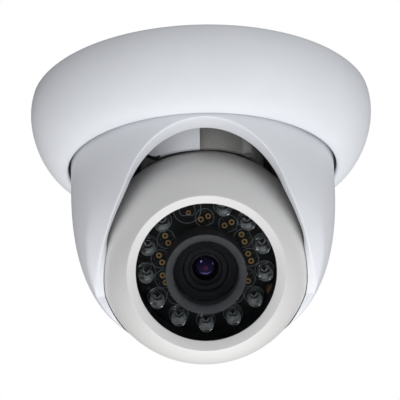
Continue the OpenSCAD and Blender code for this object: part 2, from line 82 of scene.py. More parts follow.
def length(name, description, millimetres):
    """A length that a user can change."""
    return FloatProperty(name=name, description=description, default=millimetres * MM,
                         unit="LENGTH", precision=5)


def angle(name, description, degrees):
    """An angle that a user can change."""
    return FloatProperty(name=name, description=description, default=math.radians(degrees),
                         unit="ROTATION", subtype="ANGLE")


def colour(name, description, code):
    """A colour that a user can change."""
    return FloatVectorProperty(name=name, description=description, default=linear(code),
                               subtype="COLOR", min=0, max=1)


# ---- Sizes and colours ----


class ShroudSizes(bpy.types.PropertyGroup):
    """Sizes of the trim ring and of the shroud under it"""

    ring_radius: length("Ring radius", "Radius of the trim ring at the ceiling", 56)
    ring_height: length("Ring height", "Height of the trim ring", box_size("trim_ring", 2) / MM)
    lip_radius: length("Lip radius", "Inner radius of the ring's lip", 44.3)
    ring_wall: length("Ring wall", "Wall of the trim ring", 2)
    dome_radius: length("Dome radius", "Radius of the shroud under the ring",
                        box_size("shroud", 0) / 2 / MM)
    dome_low: length("Dome low", "Lowest point of the shroud below the ceiling",
                     -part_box("shroud")[0].z / MM)
    wall: length("Wall", "Wall of the shroud", 1.5)
    arch_radius: length("Arch radius", "Radius of the arch over the ball", 25.6)
    arch_depth: length("Arch depth", "Depth of the arch's centre below the ceiling", 51.76)
    soffit: length("Soffit", "Depth of the arch's soffit, front to back", 7.8)
    leg_angle: angle("Leg angle", "Angle of the arch's straight legs from the horizontal", 68.7)
    rim_slope: angle("Rim slope", "Slope of the lower edge of the opening", 32.7)
    rim_depth: length("Rim depth", "Depth of that edge below the ceiling, before the ball's middle", 65.9)
    rim_blend: length("Rim blend", "How softly the arch runs into the slanting rim", 4.6)
    cheek_radius: length("Cheek radius", "Radius of the flat cheeks beside the arch", 42.4)
    collar_radius: length("Collar radius", "Outer radius of the ball's seat at its lower edge", 23.4)
    collar_lean: length("Collar lean", "How far the seat leans outwards", 4.4)


class BallSizes(bpy.types.PropertyGroup):
    """Sizes of the ball and of its window"""

    radius: length("Ball radius", "Radius of the ball", 34.79)
    rim_radius: length("Rim radius", "Radius of the ball's front rim", 25.2)
    window_radius: length("Window radius", "Radius of the window that shows", 22.3)
    glass_front: length("Glass front", "Front of the window, from the ball's centre", 22)
    glass_back: length("Glass back", "Back of the window, from the ball's centre", 20)
    glass_radius: length("Glass radius", "Radius of the window glass", 24.2)


class LampSizes(bpy.types.PropertyGroup):
    """Sizes of the lamp board, its lamps, the hood and the lens"""

    board_front: length("Board front", "Front of the lamp board, from the ball's centre", 6.5)
    board_radius: length("Board radius", "Radius of the lamp board", 28)
    circle_radius: length("Lamp circle", "Radius of the circle of lamps", 19.35)
    lamp_radius: length("Lamp radius", "Radius of a lamp", 2.5)
    lamp_tip: length("Lamp tip", "Tip of a lamp, from the ball's centre", 15)
    place_radius: length("Empty places", "Radius of the circle of empty lamp places", 14.4)
    lens_drop: length("Lens drop", "Distance of the lens axis below the window's axis", 1.2)
    hood_radius: length("Hood radius", "Outer radius of the lens hood", 13)
    head_radius: length("Lens head", "Radius of the lens barrel's head", 7.1)


class Finishes(bpy.types.PropertyGroup):
    """Colours of the surfaces that show"""

    white_plastic: colour("White plastic", "Moulded ring, shroud and collar", "#EDEFF3")
    ball_paint: colour("Ball paint", "Sprayed paint of the ball", "#E6E5E3")
    solder_mask: colour("Solder mask", "Black mask of the lamp board", "#0B0C0E")
    print_ink: colour("Print", "Printed rings of the lamp board", "#8E959A")
    gold: colour("Gold", "Plated pads of the empty lamp places", "#E6BE85")
    hood_rubber: colour("Hood rubber", "Rubber of the lens hood", "#4C4C4F")
    lens_coat: colour("Lens coat", "Colour that the lens coating gives off", "#A895F7")


class StageSettings(bpy.types.PropertyGroup):
    """Camera, floor and light"""

    distance: length("Distance", "Camera to the point that it looks at", 755.7)
    elevation: angle("Elevation", "Camera height over that point; it looks up from below", -23.7)
    target_depth: length("Target depth", "Depth below the ceiling of that point", 35.4)
    azimuth: angle("Azimuth", "Turn of the camera round the pan axis, positive to the right", -1.2)
    side: length("Side", "Camera and its target to the side of the pan axis", -1.05)
    roll: angle("Roll", "Turn of the camera about its own line of sight", -1.445)
    focal: FloatProperty(name="Focal length", description="Focal length on a 36 mm sensor",
                         default=207, unit="CAMERA")
    floor_depth: length("Floor depth", "Floor below the ceiling face", 700)
    floor_colour: colour("Floor", "Pale floor", "#E4E4E3")


# ---- Mesh helpers, in millimetres ----


def ball_matrix(drop=0.0):
    """From millimetres in the ball's own frame to the row frame; drop moves the axis down, in metres."""
    side = Vector((1, 0, 0))
    up = LENS_AXIS.cross(side)
    turn = Matrix((side, up, LENS_AXIS)).transposed().to_4x4()
    return Matrix.Translation(BALL_CENTRE) @ turn @ Matrix.Translation((0, -drop, 0)) @ Matrix.Scale(MM, 4)


ROW = Matrix.Scale(MM, 4)


def make_piece(name, mesh_data, place, material, body, nodes=(), sharp=35):
    """Turns points and faces into a piece that rides on a body and stands for CAD nodes."""
    points, faces = mesh_data
    mesh = bpy.data.meshes.new(name)
    mesh.from_pydata([tuple(p) for p in points], [], [tuple(f) for f in faces])
    mesh.transform(place)
    work = bmesh.new()
    work.from_mesh(mesh)
    bmesh.ops.remove_doubles(work, verts=work.verts, dist=1e-7)
    bmesh.ops.recalc_face_normals(work, faces=work.faces)
    work.to_mesh(mesh)
    work.free()
    mesh.polygons.foreach_set("use_smooth", [True] * len(mesh.polygons))
    mesh.set_sharp_from_angle(angle=math.radians(sharp))
    piece = bpy.data.objects.new(name, mesh)
    bpy.context.scene.collection.objects.link(piece)
    mesh.materials.append(material)
    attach(piece, body)
    if nodes:
        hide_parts(*nodes)
    return piece


def arc(centre, radius, start, end, steps):
    """Points on an arc of an outline, by angles in degrees from the radial direction."""
    return [(centre[0] + radius * math.cos(math.radians(start + (end - start) * i / steps)),
             centre[1] + radius * math.sin(math.radians(start + (end - start) * i / steps)))
            for i in range(steps + 1)]


def cubic(a, b, c, d, steps):
    """Points on a cubic curve from a to d."""
    t = np.linspace(0, 1, steps + 1)[:, None]
    a, b, c, d = (np.array(p, float) for p in (a, b, c, d))
    points = (1 - t) ** 3 * a + 3 * (1 - t) ** 2 * t * b + 3 * (1 - t) * t * t * c + t ** 3 * d
    return [tuple(p) for p in points]


def lathe(outline, steps=180, start=0.0, end=360.0):
    """A closed outline of (radius, height) turned about Z, all round or between two azimuths.
    Azimuths are in degrees from -Y towards +X."""
    full = abs(end - start) >= 360
    columns = steps if full else steps + 1
    points, faces, count = [], [], len(outline)
    for i in range(columns):
        a = math.radians(start + (end - start) * i / steps)
        points += [(r * math.sin(a), -r * math.cos(a), z) for r, z in outline]
    for i in range(steps):
        left, right = i * count, (i + 1) % columns * count
        for j in range(count):
            k = (j + 1) % count
            if outline[j][0] == 0 and outline[k][0] == 0:
                continue
            if outline[j][0] == 0:
                faces.append((left + j, left + k, right + k))
            elif outline[k][0] == 0:
                faces.append((left + j, left + k, right + j))
            else:
                faces.append((left + j, left + k, right + k, right + j))
    if not full:
        faces.append(tuple(range(count)))
        faces.append(tuple((columns - 1) * count + j for j in reversed(range(count))))
    return points, faces


def moved(mesh_data, x=0.0, y=0.0, z=0.0, turn=0.0):
    """The same points and faces, turned about Z by degrees and then moved."""
    c, s = math.cos(math.radians(turn)), math.sin(math.radians(turn))
    points, faces = mesh_data
    return [(x + c * p[0] - s * p[1], y + s * p[0] + c * p[1], z + p[2]) for p in points], faces


def joined(parts):
    """Several sets of points and faces as one."""
    points, faces = [], []
    for part_points, part_faces in parts:
        offset = len(points)
        points += list(part_points)
        faces += [tuple(offset + i for i in face) for face in part_faces]
    return points, faces


def slab(x, y, z0, z1, chamfer=0.06):
    """A block with chamfered edges, centred on X and Y."""
    points, c = [], chamfer
    for z, inset in ((z0, c), (z0 + c, 0), (z1 - c, 0), (z1, c)):
        hx, hy = x / 2 - inset, y / 2 - inset
        points += [(hx - c, -hy, z), (hx, -hy + c, z), (hx, hy - c, z), (hx - c, hy, z),
                   (-hx + c, hy, z), (-hx, hy - c, z), (-hx, -hy + c, z), (-hx + c, -hy, z)]
    faces = [tuple(range(8)), tuple(range(31, 23, -1))]
    for ring in range(3):
        for i in range(8):
            j = (i + 1) % 8
            faces.append((ring * 8 + i, ring * 8 + j, ring * 8 + 8 + j, ring * 8 + 8 + i))
    return points, faces


def flat_ring(outer, inner, z, height, steps=48):
    """A thin ring that lies on the board, with softened top edges."""
    e = min(0.03, height / 2, (outer - inner) / 4)
    return lathe([(inner, z), (outer, z), (outer, z + height - e), (outer - e, z + height),
                  (inner + e, z + height), (inner, z + height - e)], steps)


def band(path, width, z, height):
    """A raised strip that follows points on the board."""
    points, faces = [], []
    for i, (x, y) in enumerate(path):
        x0, y0 = path[max(i - 1, 0)]
        x1, y1 = path[min(i + 1, len(path) - 1)]
        run = math.hypot(x1 - x0, y1 - y0)
        nx, ny = -(y1 - y0) / run * width / 2, (x1 - x0) / run * width / 2
        points += [(x - nx, y - ny, z), (x + nx, y + ny, z),
                   (x + nx, y + ny, z + height), (x - nx, y - ny, z + height)]
    for i in range(len(path) - 1):
        for j in range(4):
            k = (j + 1) % 4
            faces.append((i * 4 + j, i * 4 + k, i * 4 + 4 + k, i * 4 + 4 + j))
    last = (len(path) - 1) * 4
    faces += [(3, 2, 1, 0), (last, last + 1, last + 2, last + 3)]
    return points, faces


def on_board(degrees, radius):
    """A point at an angle from the top of the board, towards the left of the ball's front."""
    a = math.radians(degrees)
    return -radius * math.sin(a), radius * math.cos(a)


# ---- Materials ----


def add(tree, kind, inputs=None, **settings):
    """Adds a node, with its settings and with values or links for its inputs."""
    made = tree.nodes.new(kind)
    for name, value in settings.items():
        setattr(made, name, value)
    for name, value in (inputs or {}).items():
        if isinstance(value, bpy.types.NodeSocket):
            tree.links.new(value, made.inputs[name])
        else:
            made.inputs[name].default_value = value
    return made


def surface(name, tint, roughness, grain=None, mottle=0.0, mottle_size=8.0, metallic=0.0, **extra):
    """A principled material. tint is a linear colour, grain a (size in mm, depth in mm, detail) bump,
    mottle a share by which the colour drifts over mottle_size millimetres."""
    material = bpy.data.materials.new(name)
    material.use_nodes = True
    tree = material.node_tree
    shader = tree.nodes["Principled BSDF"]
    shader.inputs["Roughness"].default_value = roughness
    shader.inputs["Metallic"].default_value = metallic
    base = tuple(tint)[:3] + (1,)
    shader.inputs["Base Color"].default_value = base
    material.diffuse_color = base
    for key, value in extra.items():
        shader.inputs[key.replace("_", " ")].default_value = value
    where = add(tree, "ShaderNodeTexCoord").outputs["Object"]
    if mottle:
        drift = add(tree, "ShaderNodeTexNoise", {"Vector": where, "Scale": 1 / (mottle_size * MM),
                                                 "Detail": 3})
        darker = tuple(v * (1 - mottle) for v in base[:3]) + (1,)
        ramp = add(tree, "ShaderNodeValToRGB", {"Fac": drift.outputs["Fac"]})
        ramp.color_ramp.elements[0].position = 0.35
        ramp.color_ramp.elements[0].color = darker
        ramp.color_ramp.elements[1].position = 0.65
        ramp.color_ramp.elements[1].color = base
        tree.links.new(ramp.outputs["Color"], shader.inputs["Base Color"])
    if grain:
        size, depth, detail = grain
        noise = add(tree, "ShaderNodeTexNoise", {"Vector": where, "Scale": 1 / (size * MM), "Detail": detail})
        bump = add(tree, "ShaderNodeBump", {"Height": noise.outputs["Fac"], "Distance": depth * MM,
                                            "Strength": 1.0})
        tree.links.new(bump.outputs["Normal"], shader.inputs["Normal"])
    return material


MATERIALS = {}


def make_materials(finish, lens_drop):
    """One material for each slot of the record, named for what it is and how its surface was made."""
    # Moulded ABS: satin, nearly even, with the faint spark-eroded grain of the mould.
    MATERIALS["white_abs"] = surface("moulded_abs_white", finish.white_plastic, 0.46,
                                     grain=(0.32, 0.012, 2), mottle=0.02, mottle_size=14)
    # Sprayed polyester paint on die-cast metal: fine orange peel that breaks up the light.
    MATERIALS["ball_paint"] = surface("sprayed_paint_light_grey", finish.ball_paint, 0.42,
                                      grain=(0.42, 0.03, 3), mottle=0.03, mottle_size=0.5)
    # Die-cast aluminium, blasted and left bare: a pale grainy skin with hardly any gloss.
    MATERIALS["cast_aluminium"] = surface("blasted_cast_aluminium", linear("#D8D6D2"), 0.6, metallic=0.3,
                                          grain=(0.6, 0.04, 4), mottle=0.1, mottle_size=3)
    # Zinc-plated steel: bright bluish metal with uneven plating.
    MATERIALS["zinc_steel"] = surface("zinc_plated_steel", linear("#C3C8CE"), 0.3, metallic=1,
                                      grain=(0.3, 0.006, 3), mottle=0.12, mottle_size=1.5)
    # Black-oxide steel: dark, slightly oily metal.
    MATERIALS["black_steel"] = surface("black_oxide_steel", linear("#1B1C1E"), 0.35, metallic=0.6,
                                       grain=(0.2, 0.005, 2))
    # EPDM rubber: matt black with a dusty bloom.
    MATERIALS["epdm_rubber"] = surface("moulded_epdm_rubber", linear("#161617"), 0.72,
                                       grain=(0.25, 0.015, 3), mottle=0.2, mottle_size=2)
    # Open-cell foam: no gloss, pitted all over.
    MATERIALS["gasket_foam"] = surface("open_cell_foam", linear("#1A1A1C"), 0.95,
                                       grain=(0.33, 0.16, 5), mottle=0.45, mottle_size=0.35)
    # Natural nylon: waxy cream.
    MATERIALS["nylon"] = surface("moulded_nylon_natural", linear("#E0DBC8"), 0.5, grain=(0.3, 0.01, 2),
                                 mottle=0.05)
    # Pressed fibre: brown card with flecks.
    MATERIALS["fibre_washer"] = surface("pressed_fibre", linear("#6B4A34"), 0.8, grain=(0.2, 0.03, 4),
                                        mottle=0.25, mottle_size=0.6)
    # Moulded black ABS: dark satin.
    MATERIALS["black_abs"] = surface("moulded_abs_black", linear("#111214"), 0.5, grain=(0.25, 0.01, 2),
                                     mottle=0.1, mottle_size=4)
    # Moulded silicone rubber: soft dark grey with a satin bloom.
    MATERIALS["hood_rubber"] = surface("moulded_silicone_black", finish.hood_rubber, 0.52,
                                       grain=(0.2, 0.012, 3), mottle=0.12, mottle_size=1.2)
    # Green and black solder mask: glossy lacquer with a slight ripple over the copper.
    MATERIALS["green_board"] = surface("solder_mask_green", linear("#0C5A33"), 0.3, grain=(1.2, 0.02, 2),
                                       mottle=0.3, mottle_size=1.6, Coat_Weight=0.4)
    MATERIALS["black_board"] = surface("solder_mask_black", finish.solder_mask, 0.36,
                                       grain=(1.1, 0.015, 2), mottle=0.35, mottle_size=2.2)
    # Screen-printed epoxy ink: matt grey-white, thin in places.
    MATERIALS["print_ink"] = surface("screen_print_ink", finish.print_ink, 0.65, grain=(0.12, 0.01, 2),
                                     mottle=0.4, mottle_size=0.4)
    # Gold over nickel: warm, a little dull from the bath.
    MATERIALS["gold_plate"] = surface("immersion_gold", finish.gold, 0.42, metallic=0.8,
                                      grain=(0.15, 0.006, 2), mottle=0.15, mottle_size=0.5)
    # Silver-plated lead frame: mirror-like with fine grain.
    MATERIALS["lead_frame"] = surface("silver_plated_frame", linear("#F4F5F6"), 0.22, metallic=1,
                                      grain=(0.1, 0.003, 2))
    # Emitter chip: almost black, glossy.
    MATERIALS["lamp_chip"] = surface("emitter_chip", linear("#1D1A1C"), 0.2, grain=(0.08, 0.002, 2))
    # Photocell: fired ceramic with a clear coat over its brown track.
    MATERIALS["photocell"] = surface("photocell_ceramic", linear("#7A5238"), 0.3, grain=(0.3, 0.01, 2),
                                     mottle=0.5, mottle_size=0.5, Coat_Weight=0.5)
    MATERIALS["chip_epoxy"] = surface("moulded_epoxy_black", linear("#17181A"), 0.55, grain=(0.2, 0.01, 3),
                                      mottle=0.1, mottle_size=1)
    MATERIALS["thermal_silicone"] = surface("thermal_silicone", linear("#7D9DBA"), 0.75,
                                            grain=(0.4, 0.02, 3), mottle=0.1, mottle_size=1)
    MATERIALS["coil_winding"] = surface("enamelled_copper", linear("#A85B2A"), 0.3, metallic=0.8,
                                        grain=(0.15, 0.04, 1), mottle=0.2, mottle_size=0.4)
    MATERIALS["brass"] = surface("turned_brass", linear("#C9A24F"), 0.3, metallic=1, grain=(0.2, 0.006, 2),
                                 mottle=0.1, mottle_size=0.8)
    MATERIALS["lamp_epoxy"] = clear("cast_epoxy_clear", linear("#F3F7F8"), 1.52, 0.015)
    MATERIALS["lens_glass"] = clear("polished_optical_glass", linear("#F4F8FA"), 1.6, 0.0)
    MATERIALS["filter_glass"] = clear("infrared_cut_glass", linear("#8FE0DC"), 1.52, 0.0)
    MATERIALS["window_glass"] = pane("coated_window_glass")
    # Middle of the lens face, where the painted red glint sits.
    lens_middle = ball_matrix(lens_drop) @ Vector((0, 0, LENS_TIP))
    MATERIALS["coated_glass"] = coated("violet_coated_lens", finish.lens_coat, lens_middle)
    MATERIALS["lens_black"] = surface("blackened_lens_barrel", linear("#060607"), 0.6, grain=(0.3, 0.01, 2))


def clear(name, tint, index, roughness):
    """Solid clear material that bends light, such as cast epoxy or lens glass."""
    return surface(name, tint, roughness, IOR=index, Transmission_Weight=1.0)


def pane(name):
    """Float glass with an anti-reflection coating: seen through from in front, glossy at a slant."""
    material = bpy.data.materials.new(name)
    material.use_nodes = True
    tree = material.node_tree
    tree.nodes.clear()
    slant = add(tree, "ShaderNodeFresnel", {"IOR": 1.14})
    gloss = add(tree, "ShaderNodeBsdfGlossy", {"Color": (0.86, 0.9, 1, 1), "Roughness": 0.02})
    through = add(tree, "ShaderNodeBsdfTransparent", {"Color": (0.97, 0.98, 0.98, 1)})
    mix = add(tree, "ShaderNodeMixShader", {"Fac": slant.outputs["Fac"], 1: through.outputs["BSDF"],
                                            2: gloss.outputs["BSDF"]})
    add(tree, "ShaderNodeOutputMaterial", {"Surface": mix.outputs["Shader"]})
    return material


def coated(name, tint, centre):
    """Front of a camera lens, made opaque: its near-black colour is painted shade for the lens's depths, with a
    painted red glint in the middle, under a polish that gives back violet. centre is the middle of its face, in
    metres."""
    material = surface(name, linear("#050407"), 0.02, IOR=2.1, Specular_Tint=tuple(tint)[:3] + (1,))
    tree = material.node_tree
    where = add(tree, "ShaderNodeTexCoord").outputs["Object"]
    # Painted red glint: red at the middle of the face, fading into the painted black shade about 1.1 mm out.
    away = add(tree, "ShaderNodeVectorMath", {0: where, 1: tuple(centre)}, operation="DISTANCE")
    share = add(tree, "ShaderNodeMapRange", {"Value": away.outputs["Value"], "From Min": 0.0,
                                             "From Max": 4 * MM})
    painted_glint = add(tree, "ShaderNodeValToRGB", {"Fac": share.outputs["Result"]})
    painted_glint.color_ramp.elements[0].color = tuple(linear("#5A1430")) + (1,)
    painted_glint.color_ramp.elements[1].position = 0.28
    painted_glint.color_ramp.elements[1].color = tuple(linear("#050407")) + (1,)
    tree.links.new(painted_glint.outputs["Color"], tree.nodes["Principled BSDF"].inputs["Base Color"])
    return material


# ---- Outlines and the shroud's form ----


def ring_outline(sizes):
    """Outline of the trim ring, from the ceiling round its lip and back up inside."""
    r, h, lip, wall = (v / MM for v in (sizes.ring_radius, sizes.ring_height, sizes.lip_radius,
                                        sizes.ring_wall))
    outer = [(r, 0), (r + 2.69, -9.85), (52.2, -23.45), (45.2, -h)]
    inner = [(r - wall, 0), (r + 2.69 - wall, -9.85), (52.2 - wall / 2, -23.45 + 0.9 * wall),
             (45.2, -h + wall)]
    edge = 0.25
    outline = [(r - edge, 0)] + cubic((r, -edge), outer[1], outer[2], outer[3], 72)
    outline += arc((lip + 0.75, -h + 0.75), 0.75, -98, -180, 8)
    outline += [(lip, -h + wall - 0.3)] + list(reversed(cubic(*inner, 36)))
    return outline


def dome_profile(sizes, wall=0.0):
    """Depths and radii of the shroud's outline, for interpolation."""
    r = sizes.dome_radius / MM - wall
    foot = (29 - wall, -sizes.dome_low / MM)
    curve = np.array(cubic((r, -32), (r, -48.2), (40.66 - wall, -66.4), foot, 300))
    return np.concatenate([[0], -curve[:, 1]]), np.concatenate([[r], curve[:, 0]])


def shroud_radius(sizes, azimuth, z, wall=0.0):
    """Radius of the shroud at an azimuth in radians and a height: the dome, flattened by two cheeks."""
    depths, radii = dome_profile(sizes, wall)
    dome = np.interp(-z, depths, radii)
    cheek = sizes.cheek_radius / MM - wall
    below = np.minimum(z + 36.4, 0)
    reach = np.sqrt(np.maximum(cheek * cheek - below * below, 1)) + 1
    soft = 0.16 + 0.5 * np.clip((z + 56) / 24, 0, 1)
    total = np.ones_like(dome * soft)
    for side in (-1, 1):
        c = np.cos(azimuth - side * math.radians(50))
        flat = np.where(c > 0.2, reach / np.maximum(c, 0.2), 999)
        total = total + np.exp(-np.clip((flat - dome) / soft, -60, 60))
    return dome - soft * np.log(total)


# How far in front of the pan axis the rim's depth is taken, in millimetres.
RIM_AHEAD = 10.1


def rim_height(sizes, azimuth):
    """Height of the shroud's lower edge at each azimuth: the arch, the slanting rim and the back."""
    arch, depth = sizes.arch_radius / MM, sizes.arch_depth / MM
    slope, leg = math.tan(sizes.rim_slope), math.tan(sizes.leg_angle)
    foot = arch * math.sin(sizes.leg_angle)
    low = np.full_like(azimuth, -sizes.dome_low / MM + 0.2)
    high = np.full_like(azimuth, -20.0)
    soft = sizes.rim_blend / MM
    for _ in range(40):
        z = (low + high) / 2
        r = shroud_radius(sizes, azimuth, z)
        x, y = r * np.sin(azimuth), -r * np.cos(azimuth)
        top = np.sqrt(arch * arch - np.minimum(np.abs(x), foot) ** 2) - leg * np.maximum(np.abs(x) - foot, 0)
        # Behind the pan axis the arch falls away, so that it cuts the front only.
        curve = top - depth - 4 * np.maximum(y, 0)
        rim = -sizes.rim_depth / MM - slope * (y + RIM_AHEAD)
        level = np.maximum(soft * np.logaddexp(curve / soft, rim / soft), 0.4 - sizes.dome_low / MM)
        low = np.where(z < level, z, low)
        high = np.where(z < level, high, z)
    return (low + high) / 2


def ramp(values, start, end):
    """Rises smoothly from 0 to 1 between two angles in degrees; the values are in radians."""
    t = np.clip((np.degrees(values) - start) / (end - start), 0, 1)
    return t * t * (3 - 2 * t)


def shroud_mesh(sizes, clear_radius):
    """The shroud as one closed skin: outside, rounded edge, soffit and inside."""
    fine = np.radians(np.concatenate([np.arange(-110, 110, 0.5), np.arange(110, 250, 2.0)]))
    edge_z = rim_height(sizes, fine)
    top, wall, ease = -8.4, sizes.wall / MM, 0.55

    def outside(z, inset=0.0):
        r = shroud_radius(sizes, fine, z, inset)
        return np.stack([r * np.sin(fine), -r * np.cos(fine), z], 1)

    edge = outside(edge_z)
    run = np.roll(edge, -1, 0) - np.roll(edge, 1, 0)
    run /= np.linalg.norm(run, axis=1)[:, None]
    flatness = np.maximum(np.sqrt(1 - run[:, 2] ** 2), 0.35)
    out = np.stack([np.sin(fine), -np.cos(fine), 0 * fine], 1)
    away = np.cross(out, run)
    away *= np.sign(away[:, 2])[:, None]
    # The soffit runs straight back under the arch and turns into a thin lip beside the ball.
    side = ramp(np.abs(fine), 50, 78)[:, None]
    back = np.array([0, 1.0, 0]) * (1 - side) - out * side
    back /= np.linalg.norm(back, axis=1)[:, None]
    depth = sizes.soffit / MM + (3.8 - sizes.soffit / MM) * ramp(np.abs(fine), 28, 60)[:, None]
    start_z = edge_z + ease / flatness
    rows = []
    count = 46
    for i in range(count + 1):
        t = (i / count) ** 0.8
        rows.append(outside(top + (start_z - top) * t))
    first, last = rows[-1], edge + back * ease
    for i in range(1, 7):
        t = i / 6
        rows.append((1 - t) ** 2 * first + 2 * (1 - t) * t * edge + t * t * last)
    for i in range(1, 7):
        rows.append(edge + back * (ease + (depth - ease) * i / 6))
    inner_end = edge + back * depth + away * 1.2
    rows.append(edge + back * (depth + 0.15) + away * 0.5)
    rows.append(inner_end)
    inner_z = np.minimum(edge_z + 2.5 / flatness, -22)
    inner_start = outside(inner_z, wall)
    rows += [inner_end * (1 - t) + inner_start * t for t in (0.33, 0.66)]
    for i in range(13):
        rows.append(outside(inner_z + (top - inner_z) * i / 12, wall))
    centre = np.array([0, 0, BALL_CENTRE.z / MM])
    for i in range(count + 1, len(rows)):
        away_from_ball = rows[i] - centre
        distance = np.linalg.norm(away_from_ball, axis=1)[:, None]
        rows[i] = centre + away_from_ball * np.maximum(clear_radius / distance, 1)
    columns, total = len(fine), len(rows)
    points = np.concatenate(rows)
    faces = [(j * columns + i, j * columns + (i + 1) % columns,
              (j + 1) % total * columns + (i + 1) % columns, (j + 1) % total * columns + i)
             for j in range(total) for i in range(columns)]
    return points, faces


def collar_radius(sizes, z):
    """Outer radius of the ball's seat at a height: it leans outwards and then stands straight."""
    low = sizes.collar_radius / MM
    return low + sizes.collar_lean / MM * np.clip((z + 27.6) / 7.6, 0, 1)


def collar_end(sizes, z):
    """Azimuth of the collar's left end at a height, in degrees: a slanting edge with a rounded foot."""
    foot = np.clip((-25.6 - z) / 2, 0, 1)
    rounding = 1.6 * (1 - np.sqrt(1 - foot * foot))
    return -46 + np.degrees((rounding - (z + 26.8)) / collar_radius(sizes, z))


def seat_collar_mesh(sizes):
    """The left half of the seat, from its straight edge in the middle to its slanting end."""
    wall, side, top, columns = 1.4, 1.15, -8.1, 60
    heights = np.concatenate([np.linspace(-27.5, -25.6, 8), np.linspace(-25, -20, 6), [-14, top]])
    outside = [(collar_radius(sizes, z), z) for z in heights]
    inside = [(r - wall, z) for r, z in reversed(outside)]
    outline = [(outside[0][0] - 0.1, -27.6)] + outside + inside + [(inside[-1][0] + 0.1, -27.6)]
    points, count = [], len(outline)
    for i in range(columns + 1):
        for r, z in outline:
            first, last = -math.degrees(math.asin(side / r)), collar_end(sizes, z)
            a = math.radians(first + (last - first) * i / columns)
            points.append((r * math.sin(a), -r * math.cos(a), z))
    faces = [(i * count + j, i * count + (j + 1) % count,
              (i + 1) * count + (j + 1) % count, (i + 1) * count + j)
             for i in range(columns) for j in range(count)]
    # Each end is closed by quads between the outer and the inner face.
    for start in (0, columns * count):
        faces += [(start + j, start + j + 1, start + count - 2 - j, start + count - 1 - j)
                  for j in range(count // 2 - 1)]
    return points, faces


def seat_pad_mesh(sizes):
    """A soft strip that follows the collar's slanting end and tapers off under its foot."""
    wide, thick = 1.1, 0.7
    path = [(collar_end(sizes, z), z) for z in np.linspace(-20.4, -27.6, 25)]
    path += [(path[-1][0] + step, -27.6) for step in (1, 2, 3)]
    flat = [(collar_radius(sizes, z) * math.radians(a), z) for a, z in path]
    points = []
    for i, (s, z) in enumerate(flat):
        s0, z0 = flat[max(i - 1, 0)]
        s1, z1 = flat[min(i + 1, len(flat) - 1)]
        run = math.hypot(s1 - s0, z1 - z0)
        width = wide * min(1, (len(flat) - 1 - i) / 4 + 0.1)
        out_s, out_z = (z1 - z0) / run * width, -(s1 - s0) / run * width
        for step, depth in ((0, 0), (1, 0), (1, thick), (0, thick)):
            height = z + step * out_z
            r = collar_radius(sizes, z) + 0.03 - depth
            a = (s + step * out_s) / (collar_radius(sizes, z))
            points.append((r * math.sin(a), -r * math.cos(a), height))
    faces = [(i * 4 + j, i * 4 + (j + 1) % 4, i * 4 + 4 + (j + 1) % 4, i * 4 + 4 + j)
             for i in range(len(flat) - 1) for j in range(4)]
    last = (len(flat) - 1) * 4
    return points, faces + [(3, 2, 1, 0), (last, last + 1, last + 2, last + 3)]


# ---- Pieces ----


class CCTV_OT_materials(bpy.types.Operator):
    """Give every CAD node the material of its slot"""

    bl_idname = "cctv.materials"
    bl_label = "Materials"

    def execute(self, context):
        make_materials(context.scene.cctv_finishes, context.scene.cctv_lamps.lens_drop)
        slots = {part["node"]: part["material_slot"] for part in frame["record"]["subparts"]}
        for name, piece in frame["nodes"].items():
            piece.data.materials.clear()
            piece.data.materials.append(MATERIALS[slots[name]])
        return {"FINISHED"}


class CCTV_OT_trim_ring(bpy.types.Operator):
    """Make the trim ring that covers the base"""

    bl_idname = "cctv.trim_ring"
    bl_label = "Trim ring"

    def execute(self, context):
        outline = ring_outline(context.scene.cctv_shroud)
        make_piece("trim_ring_shell", lathe(outline, 256), ROW, MATERIALS["white_abs"], "base",
                   ["trim_ring"])
        return {"FINISHED"}


class CCTV_OT_shroud(bpy.types.Operator):
    """Make the shroud with its arch, and the seat behind it"""

    bl_idname = "cctv.shroud"
    bl_label = "Shroud and seat"

    def execute(self, context):
        sizes = context.scene.cctv_shroud
        clear_radius = context.scene.cctv_ball.radius / MM + 0.28
        make_piece("shroud_shell", shroud_mesh(sizes, clear_radius), ROW, MATERIALS["white_abs"], "turret",
                   ["shroud"], sharp=50)
        make_piece("seat_collar_wall", seat_collar_mesh(sizes), ROW, MATERIALS["white_abs"], "turret",
                   ["seat_collar"])
        make_piece("seat_pad_strip", seat_pad_mesh(sizes), ROW, MATERIALS["epdm_rubber"], "turret",
                   ["seat_pad"])
        return {"FINISHED"}


